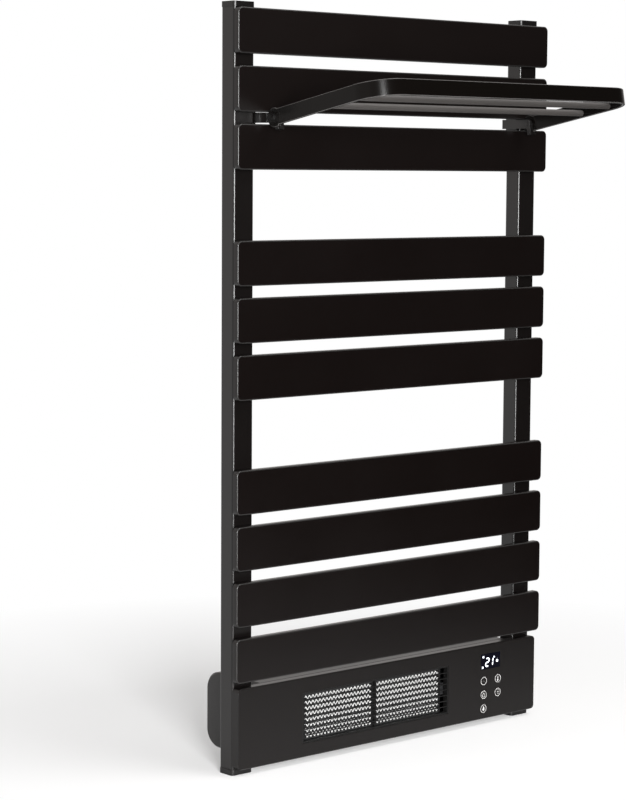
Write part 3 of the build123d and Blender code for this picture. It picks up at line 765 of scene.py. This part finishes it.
for name in CAPS:
    softened(name, CAP_EDGE, segments=CAP_SEGMENTS)
softened("heater_panel", THIN_EDGE)
softened("rear_housing", BENT_EDGE)
for name in BRACKETS:
    softened(name, BENT_EDGE)
softened("cable_gland", THIN_EDGE)
for name in KEYS:
    softened(name, KEY_EDGE, body=name)
print("softened copies ready")

# %% [markdown]
# ## The shelf bar
# The shelf is one flat steel bar, bent to a U and set on edge. Carrying a small rounded
# rectangle along a smooth path gives the bends an even highlight, which a faceted CAD bend
# can't. The path is drawn level, from one hub to the other, and then tilted up.

# %% Path of the bar
SHELF_PIVOT = Vector((0.0, -0.0536, 0.3394))
SHELF_TILT = math.radians(10.5)
SHELF_HALF = 0.22985  # half the shelf's width, to the bar's outer face
SHELF_REACH = 0.1885  # from the pivot to the bar's outer face
SHELF_BEND = 0.0417
BAR_THICKNESS = 0.004
BAR_HEIGHT = 0.020
BAR_START = -0.003  # the bar's ends, a little before the pivot
SIDE_STEPS, MIDDLE_STEPS = 9, 22


def tilt_up(points):
    """Turns level points about the X axis through the origin and moves them to the pivot."""
    x, y, z = points[:, 0], points[:, 1], points[:, 2]
    cos, sin = math.cos(SHELF_TILT), math.sin(SHELF_TILT)
    turned = np.stack([x, y * cos + z * sin, z * cos - y * sin], -1)
    return turned + np.array(SHELF_PIVOT)


def bent_path(steps=28):
    """The bar's middle line: straight out, a quarter turn, across, a quarter turn, and back.
    Each turn has its centre one bend radius in from both runs."""
    half = SHELF_HALF - BAR_THICKNESS / 2
    reach = SHELF_REACH - BAR_THICKNESS / 2
    bend = SHELF_BEND - BAR_THICKNESS / 2
    angle = np.linspace(0, math.pi / 2, steps)
    left = np.stack([-half + bend - bend * np.cos(angle), -reach + bend - bend * np.sin(angle)], -1)
    outward_run = np.linspace(BAR_START, -reach + bend, SIDE_STEPS + 1)[:-1]
    side = np.stack([np.full(SIDE_STEPS, -half), outward_run], -1)
    across = np.linspace(-half + bend, half - bend, MIDDLE_STEPS + 2)[1:-1]
    middle = np.stack([across, np.full(MIDDLE_STEPS, -reach)], -1)
    mirrored = np.array([-1.0, 1.0])
    return np.concatenate([side, left, middle, left[::-1] * mirrored, side[::-1] * mirrored])


bar_path = bent_path()
print("the bar's path has", len(bar_path), "points")

# %% [markdown]
# ## Sweeping the section
# At every point of the path the section stands square to it. The points on the section's four corners are
# marked for the painted edge highlight.

# %% Sweep the bar
BAR_CORNER = 0.0009
CORNER_POINTS = 5
CORNER_HIGHLIGHT_MARKS = [0.0, 1.0, 1.0, 1.0, 0.0]


def swept(path, section):
    """Carries a closed (across, up) section along a level path. Each point moves sideways by
    'across' along the path's normal and upward by 'up'."""
    tangent = np.gradient(path, axis=0)
    tangent /= np.linalg.norm(tangent, axis=1)[:, None]
    normal = np.stack([tangent[:, 1], -tangent[:, 0]], -1)
    level = path[:, None, :] - normal[:, None, :] * section[None, :, :1]
    height = np.broadcast_to(section[None, :, 1:], (len(path), len(section), 1))
    return np.concatenate([level, height], -1).reshape(-1, 3)


bar_section = rounded_outline(BAR_THICKNESS, BAR_HEIGHT, BAR_CORNER, steps=CORNER_POINTS)
bar_points = tilt_up(swept(bar_path, bar_section))
bar = add_piece("shelf_flat_bar", bar_points, closed_tube_faces(len(bar_path), len(bar_section)),
                shelf_paint, "shelf", "shelf_paint", ["shelf_bar"])
painted_highlight_marked(bar, np.tile(CORNER_HIGHLIGHT_MARKS, 4 * len(bar_path)))
flat_kept_flat(sharpened(outward(bar)))
print("shelf bar", len(bar.data.polygons), "faces")

# %% [markdown]
# ## Hubs
# Each end of the bar carries a round hub with a flat heel, which rests on the bracket's stop
# lug and holds the shelf level. A hub is a ring whose outer outline is a circle, pushed out
# to a square corner at the heel; its section runs over a rounded rim.

# %% Hub pieces
HUB_RADIUS = 0.012
HEEL = 0.0065
HUB_RIM = 0.0010
RIM_CUT = 0.3  # where a round rim's middle lies, as a share of its radius
HUB_PROUD = 0.0001  # how far a hub stands out of the bar's faces
PIN_RADIUS = 0.003
PIN_CLEARANCE = 0.00005
# where the hub's rims get a painted highlight, a thin light ring
HUB_RIM_HIGHLIGHT = [0.0, 0.0, 1.0, 0.2, 0.2, 1.0, 0.0, 0.0]
TINY = 1e-6  # keeps a division away from zero


def hub_outline(angle):
    """Distance of the hub's edge from its axis at an angle: a circle, or the heel's corner."""
    across, rise = np.cos(angle), np.sin(angle)
    corner = np.minimum(HEEL / np.maximum(-across, TINY), HUB_RADIUS / np.maximum(-rise, TINY))
    heel = (across < 0) & (rise < 0)
    return np.where(heel, np.maximum(HUB_RADIUS, corner), HUB_RADIUS)


def hub_points(x_outer, x_inner, steps=96):
    """A ring: rows run round its section, columns round its axis. A section point is a
    distance from the axis, from the pin's hole to the outline, and a place along it."""
    angle = np.linspace(0, 2 * math.pi, steps, endpoint=False)
    hole = np.full(steps, PIN_RADIUS + PIN_CLEARANCE)
    edge = hub_outline(angle)
    rim = HUB_RIM if x_inner > x_outer else -HUB_RIM
    cut = RIM_CUT * HUB_RIM
    section = [(hole, x_outer), (edge - HUB_RIM, x_outer), (edge - cut, x_outer + RIM_CUT * rim),
               (edge, x_outer + rim), (edge, x_inner - rim),
               (edge - cut, x_inner - RIM_CUT * rim), (edge - HUB_RIM, x_inner), (hole, x_inner)]
    rows = [np.stack([np.full(steps, x), radius * np.cos(angle), radius * np.sin(angle)], -1)
            for radius, x in section]
    return np.concatenate(rows), grid_faces(len(rows), steps, True, True).tolist()


for side, label in ((-1, "left"), (1, "right")):
    x_outer = side * (SHELF_HALF + HUB_PROUD)
    x_inner = side * (SHELF_HALF - BAR_THICKNESS - HUB_PROUD)
    points, faces = hub_points(x_outer, x_inner)
    hub = add_piece(f"shelf_{label}_hub", tilt_up(points), faces, shelf_paint, "shelf", "shelf_paint")
    painted_highlight_marked(hub, np.repeat(HUB_RIM_HIGHLIGHT, len(points) // len(HUB_RIM_HIGHLIGHT)))
    flat_kept_flat(sharpened(outward(hub)))
    print(hub.name, len(hub.data.polygons), "faces")

# %% [markdown]
# ## Rods
# Two round rods below the bar carry the towels. Each is a tube with softly broken ends: a
# circle drawn at four places along X, the first and last a little smaller.

# %% Rod pieces
ROD_RADIUS = 0.004
ROD_DROP = 0.004  # how far the rods' middles lie below the pivot's level
ROD_BREAK = 0.0003
ROD_STEPS = 64
ROD_CREASE = 35
ROD_PLACES = {"inner": 0.094, "outer": 0.141}  # distance from the pivot

angle = np.linspace(0, 2 * math.pi, ROD_STEPS, endpoint=False)
rod_half = SHELF_HALF - BAR_THICKNESS
rod_rings = ((-rod_half, ROD_RADIUS - ROD_BREAK), (-rod_half + ROD_BREAK, ROD_RADIUS),
             (rod_half - ROD_BREAK, ROD_RADIUS), (rod_half, ROD_RADIUS - ROD_BREAK))
for label, reach in ROD_PLACES.items():
    rows = [np.stack([np.full(ROD_STEPS, x), -reach + r * np.cos(angle), -ROD_DROP + r * np.sin(angle)], -1)
            for x, r in rod_rings]
    points, faces = tilt_up(np.concatenate(rows)), closed_tube_faces(len(rows), ROD_STEPS)
    rod = add_piece(f"shelf_{label}_round_rod", points, faces, rod_paint_painted_pale, "shelf", "shelf_paint",
                    [f"shelf_{label}_rod"])
    sharpened(outward(rod), ROD_CREASE)
    print(rod.name, len(rod.data.polygons), "faces")

# %% [markdown]
# ## The heating cores
# Behind the grille sit two heating cores: eight rows of thin aluminium strip, folded to and
# fro between flat tubes. A folded strip is a sheet whose height follows a rounded zigzag:
# the arcsine of a sine is a sharp zigzag, and shrinking the sine a little rounds its crests.
# The sheet gets its thickness along its own normal, since a thickness measured straight up
# would nearly vanish on the steep flanks.

# %% Folded strip
FOLD_PITCH = 0.0060
FOLD_STEPS = 10
CREST_SHARPNESS = 0.95  # 1 would be a sharp zigzag
FOIL = 0.0010  # thicker than real foil, so that a fin still shows in the render


def folded_strip(x_low, x_high, y_low, y_high, middle, rise):
    """Rows follow the zigzag and columns go round the sheet: top front, top back, bottom
    back and bottom front. Returns the points and faces of one closed strip."""
    folds = round((x_high - x_low) / FOLD_PITCH)
    phase = np.linspace(0, 2 * math.pi * folds, folds * FOLD_STEPS + 1)
    x = x_low + (x_high - x_low) * phase / phase[-1]
    z = middle + rise / 2 * np.arcsin(CREST_SHARPNESS * np.sin(phase)) / math.asin(CREST_SHARPNESS)
    run, climb = np.gradient(x), np.gradient(z)
    length = np.hypot(run, climb)
    nx, nz = -climb / length * FOIL / 2, run / length * FOIL / 2
    front, back = np.full_like(x, y_low), np.full_like(x, y_high)
    loop = [np.stack([x + nx, front, z + nz], -1), np.stack([x + nx, back, z + nz], -1),
            np.stack([x - nx, back, z - nz], -1), np.stack([x - nx, front, z - nz], -1)]
    return np.stack(loop, 1).reshape(-1, 3), closed_tube_faces(len(x), 4)


print("fold pitch", FOLD_PITCH)

# %% [markdown]
# ## Strips between tubes
# Nine flat tubes hold the eight strips. The topmost is thicker: it is the core's header, the
# dark bar that shows above the fins. The strips keep a little inside the core's box, so that
# no fin touches the frame that holds it.

# %% Core pieces
CORE_ROWS = 8
CORE_TUBE = 0.0015
CORE_HEADER = 0.0024
TUBE_CORNER = 0.0004
STRIP_INSET = 0.0004
CORE_CREASE = 40


def rounded_bar(x_low, x_high, y_low, y_high, z_low, z_high):
    """A bar along X with rounded long edges: a rounded rectangle at both ends."""
    outline = rounded_outline(y_high - y_low, z_high - z_low, TUBE_CORNER, steps=4)
    middle = np.array([(y_low + y_high) / 2, (z_low + z_high) / 2])
    rows = [np.concatenate([np.full((len(outline), 1), x), outline + middle], 1) for x in (x_low, x_high)]
    return np.concatenate(rows), closed_tube_faces(2, len(outline))


for label in ("left", "right"):
    low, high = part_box(f"{label}_heating_core")
    pitch = (high.z - low.z - CORE_TUBE - CORE_HEADER) / CORE_ROWS
    rise = pitch - CORE_TUBE - FOIL
    middles = [low.z + CORE_TUBE / 2 + row * pitch for row in range(CORE_ROWS + 1)]
    inside = (low.x + STRIP_INSET, high.x - STRIP_INSET, low.y + STRIP_INSET, high.y - STRIP_INSET)
    strips = [folded_strip(*inside, z + pitch / 2, rise) for z in middles[:-1]]
    tops = [z + CORE_TUBE / 2 for z in middles[:-1]] + [high.z]
    tubes = [rounded_bar(low.x, high.x, low.y, high.y, z - CORE_TUBE / 2, top)
             for z, top in zip(middles, tops)]
    core = add_piece(f"{label}_folded_core", *joined(strips), core_metal_painted_shade, "rail", "core_aluminium",
                     [f"{label}_heating_core"])
    sharpened(outward(core), CORE_CREASE)
    bars = add_piece(f"{label}_core_tubes", *joined(tubes), tube_metal, "rail", "core_aluminium")
    sharpened(outward(bars), CORE_CREASE)
    print(core.name, len(core.data.polygons), "faces")

# %% [markdown]
# ## Figures of seven bars
# The display shows two lit figures and a few dots. Each figure is a set of thin bars with
# pointed ends, leaning a little to the right. A bar is a six-sided plate.

# %% Plates and figures
FIGURE_WIDTH, FIGURE_HEIGHT = 0.0060, 0.0108
FIGURE_BAR, FIGURE_LEAN = 0.0020, 0.12
BAR_TIP, BAR_NECK = 0.12, 0.62  # where a lit bar starts and is at its full width


def thin_plate(outline, y_front, thickness):
    """A flat plate from an (x, z) outline: front and back faces and a wall round them."""
    outline = np.asarray(outline, float)
    count = len(outline)
    front = np.stack([outline[:, 0], np.full(count, y_front), outline[:, 1]], -1)
    back = front + np.array([0.0, thickness, 0.0])
    return np.concatenate([front, back]), closed_tube_faces(2, count)


def figure_bars(lit):
    """Outlines of the lit bars of a seven-bar figure about its middle. Letters a to g name
    the bars clockwise from the top, with g across the middle. A bar is a straight run with a
    neck and a tip at both ends, and leaning adds a share of the height to the place across."""
    w, h = FIGURE_WIDTH / 2, FIGURE_HEIGHT / 2
    ends = {"a": ((-w, h), (w, h)), "b": ((w, h), (w, 0)), "c": ((w, 0), (w, -h)), "d": ((-w, -h), (w, -h)),
            "e": ((-w, 0), (-w, -h)), "f": ((-w, h), (-w, 0)), "g": ((-w, 0), (w, 0))}
    outlines = []
    for letter in lit:
        start, stop = (np.array(end) for end in ends[letter])
        run = (stop - start) / np.linalg.norm(stop - start)
        side = np.array([-run[1], run[0]]) * FIGURE_BAR / 2
        tip, neck = run * FIGURE_BAR * BAR_TIP, run * FIGURE_BAR * BAR_NECK
        shape = np.array([start + tip, start + neck + side, stop - neck + side, stop - tip,
                          stop - neck - side, start + neck - side])
        shape[:, 0] += shape[:, 1] * FIGURE_LEAN
        outlines.append(shape)
    return outlines


def disc_outline(x, z, radius, steps=24):
    """A circle as points: the radius times the angle's cosine across and its sine up."""
    angle = np.linspace(0, 2 * math.pi, steps, endpoint=False)
    return np.stack([x + radius * np.cos(angle), z + radius * np.sin(angle)], -1)


print("figure helpers ready")

# %% [markdown]
# ## The lit display
# The figures glow in a cold white and stand a twentieth of a millimetre proud of the window.
# Their places count from the window's middle.

# %% Display figures
PROUD = 0.00005
FIGURES = {"abged": -0.0063, "bc": 0.0014}  # the lit bars and the place across
FIGURE_DROP = 0.0014
DOTS = ((0.0128, -0.0013, 0.0020), (-0.0142, 0.0066, 0.0016),
        (-0.0154, -0.0080, 0.0016), (0.0070, 0.0046, 0.0012))  # across, up and radius

lit_print = Finish("display_light")
flicker = lit_print.noise(500.0, detail=1.0)
display_light = lit_print.shaded({
    "Base Color": rgba(0.75, 0.78, 0.85),
    "Emission Color": lit_print.blended(flicker, rgba(0.80, 0.88, 1.0), WHITE),
    "Emission Strength": 0.9,
    "Roughness": 0.4,
})
low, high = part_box("display_window")
window_middle = np.array([(low.x + high.x) / 2, (low.z + high.z) / 2])
outlines = [outline + window_middle + [across, -FIGURE_DROP]
            for lit, across in FIGURES.items() for outline in figure_bars(lit)]
outlines += [disc_outline(*(window_middle + [across, rise]), radius) for across, rise, radius in DOTS]
points, faces = joined([thin_plate(outline, low.y - PROUD, PROUD) for outline in outlines])
figures = add_piece("display_figures", points, faces, display_light, "rail", "display_glass", smooth=False)
outward(figures)
print("display figures", len(figures.data.polygons), "faces")

# %% [markdown]
# ## Ink
# Every key carries a printed ring, and a small plain mark inside it. The ink is a pale grey
# film, so each mark is a plate a few hundredths of a millimetre thick.

# %% Shapes in ink
INK = 0.00004
ink = Finish("key_ink")
ink_wear = ink.noise(GRAIN_SCALE)
key_ink = ink.shaded({
    "Base Color": ink.blended(ink_wear, rgba(0.56, 0.55, 0.54), rgba(0.66, 0.65, 0.64)),
    "Roughness": 0.5 + ink_wear * 0.1,
})


def ring(x, z, y_front, radius, width, start=0.0, sweep=2 * math.pi, steps=64):
    """A flat ring, or an arc of one: rows go round a small square section, columns along."""
    whole = abs(sweep - 2 * math.pi) < TINY
    angle = np.linspace(start, start + sweep, steps, endpoint=not whole)
    inner, outer, y_back = radius - width / 2, radius + width / 2, y_front + INK
    section = ((inner, y_front), (outer, y_front), (outer, y_back), (inner, y_back))
    columns = [np.stack([x + r * np.cos(angle), np.full(steps, y), z + r * np.sin(angle)], -1)
               for r, y in section]
    points = np.stack(columns, 1).reshape(-1, 3)
    return points, (grid_faces(steps, 4, True, True).tolist() if whole else closed_tube_faces(steps, 4))


def flame_outline(x, z, radius, tip, lean=0.5, steps=28):
    """A circle whose upper side is drawn out to a point. The draw grows with the fourth
    power of the height, so only the top is pulled up, and the sides lean inward."""
    angle = np.linspace(0, 2 * math.pi, steps, endpoint=False)
    rise = np.maximum(np.sin(angle), 0.0) ** 4
    across = radius * np.cos(angle) * (1 - lean * rise)
    return np.stack([x + across, z + radius * np.sin(angle) + tip * rise], -1)


def stroke_outline(start, stop, width):
    """A straight stroke with flat ends between two points."""
    start, stop = np.array(start), np.array(stop)
    run = (stop - start) / np.linalg.norm(stop - start)
    side = np.array([-run[1], run[0]]) * width / 2
    return np.array([start - side, stop - side, stop + side, start + side])


print("ink ready")

# %% [markdown]
# ## Marks on the keys
# The first key has a dot, and the others a thermometer, a drop, a clock and a flame. Each is
# a few strokes, discs and arcs, listed in tenths of a millimetre from the key's middle. A
# mark rides on its key, so it goes in with the press.

# %% Key marks
TENTH = 0.0001
RING_RADIUS = 0.0053
RING_WIDTH = 0.0006
MARKS = {
    1: [("disc", 0, 0, 4)],
    2: [("disc", -2, -22, 13), ("stroke", 0, -16, 0, 30, 11), ("stroke", 12, 16, 22, 16, 5)],
    3: [("arc", 0, -8, 22, 6, 150, 240, 32), ("stroke", -21, 2, 0, 28, 6), ("stroke", 21, 2, 0, 28, 6)],
    4: [("arc", 0, 0, 31, 3, -60, 200, 40), ("stroke", 0, 0, -12, 18, 5), ("stroke", 0, 0, 17, 6, 6),
        ("stroke", -12, -18, 12, -18, 5)],
    5: [("flame", 0, -12, 19, 32)],
}


def mark_part(kind, x, z, y, sizes):
    """One shape of a mark. A disc and a flame have a place and radii, an arc a place, radius
    and width, then its start and sweep in degrees and its steps, a stroke two ends and a width."""
    place = (x + sizes[0] * TENTH, z + sizes[1] * TENTH)
    rest = [size * TENTH for size in sizes[2:]]
    if kind == "arc":
        start, sweep, steps = sizes[4:]
        return ring(*place, y, rest[0], rest[1], math.radians(start), math.radians(sweep), steps)
    if kind == "stroke":
        return thin_plate(stroke_outline(place, (x + rest[0], z + rest[1]), rest[2]), y, INK)
    draw = disc_outline if kind == "disc" else flame_outline
    return thin_plate(draw(*place, *rest), y, INK)


for number, shapes in MARKS.items():
    low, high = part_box(f"key_{number}")
    x, z, y = (low.x + high.x) / 2, (low.z + high.z) / 2, low.y - INK
    parts = [ring(x, z, y, RING_RADIUS, RING_WIDTH)]
    parts += [mark_part(kind, x, z, y, sizes) for kind, *sizes in shapes]
    mark = add_piece(f"key_{number}_mark", *joined(parts), key_ink, f"key_{number}", smooth=False)
    outward(mark)
    print(mark.name, len(parts), "parts")

# %% [markdown]
# ## Housing screws
# The rear housing hangs on four ears, and each ear takes a small pan-head screw from behind.
# The head is a profile turned about the screw's axis: up the rounded rim, over the flat
# crown and down into the socket, whose outline is a hexagon and not a circle.

# %% Screw heads
SCREW_RADIUS = 0.0026
SCREW_HEAD = 0.0016
SCREW_RIM = 0.0008
SOCKET = 0.0013  # from the axis to a flat
SOCKET_MOUTH = 1.06  # the socket's opening, as a share of its width
MOUTH_DEPTH = 0.0001
SOCKET_FLOOR = 0.4  # the floor's height, as a share of the head's
HOUSING_BACK = -0.0204
SCREW_ACROSS = 0.229
SCREW_HEIGHTS = (-0.386, -0.452)


def screw_points(x, y, z, steps=48, rim_steps=6):
    """Rows run from the seat over the rim to the socket's floor, columns round the axis. The
    socket rows use a hexagon's distance from its middle: apothem over the cosine of the
    angle to the nearest flat."""
    angle = np.linspace(0, 2 * math.pi, steps, endpoint=False)
    sixth = math.pi / 3
    hexagon = SOCKET / np.cos((angle + sixth / 2) % sixth - sixth / 2)
    rows = [(np.full(steps, SCREW_RADIUS), 0.0)]
    for turn in np.linspace(0, math.pi / 2, rim_steps):
        radius = SCREW_RADIUS - SCREW_RIM + SCREW_RIM * math.cos(turn)
        rows.append((np.full(steps, radius), SCREW_HEAD - SCREW_RIM + SCREW_RIM * math.sin(turn)))
    rows += [(hexagon * SOCKET_MOUTH, SCREW_HEAD), (hexagon, SCREW_HEAD - MOUTH_DEPTH),
             (hexagon, SCREW_HEAD * SOCKET_FLOOR)]
    points = [np.stack([x + r * np.cos(angle), np.full(steps, y + rise), z + r * np.sin(angle)], -1)
              for r, rise in rows]
    return np.concatenate(points), closed_tube_faces(len(rows), steps)


screws = [screw_points(side * SCREW_ACROSS, HOUSING_BACK, z) for side in (-1, 1) for z in SCREW_HEIGHTS]
heads = add_piece("housing_screw_heads", *joined(screws), steel, "rail")
flat_kept_flat(sharpened(outward(heads)))
print("housing screws", len(heads.data.polygons), "faces")
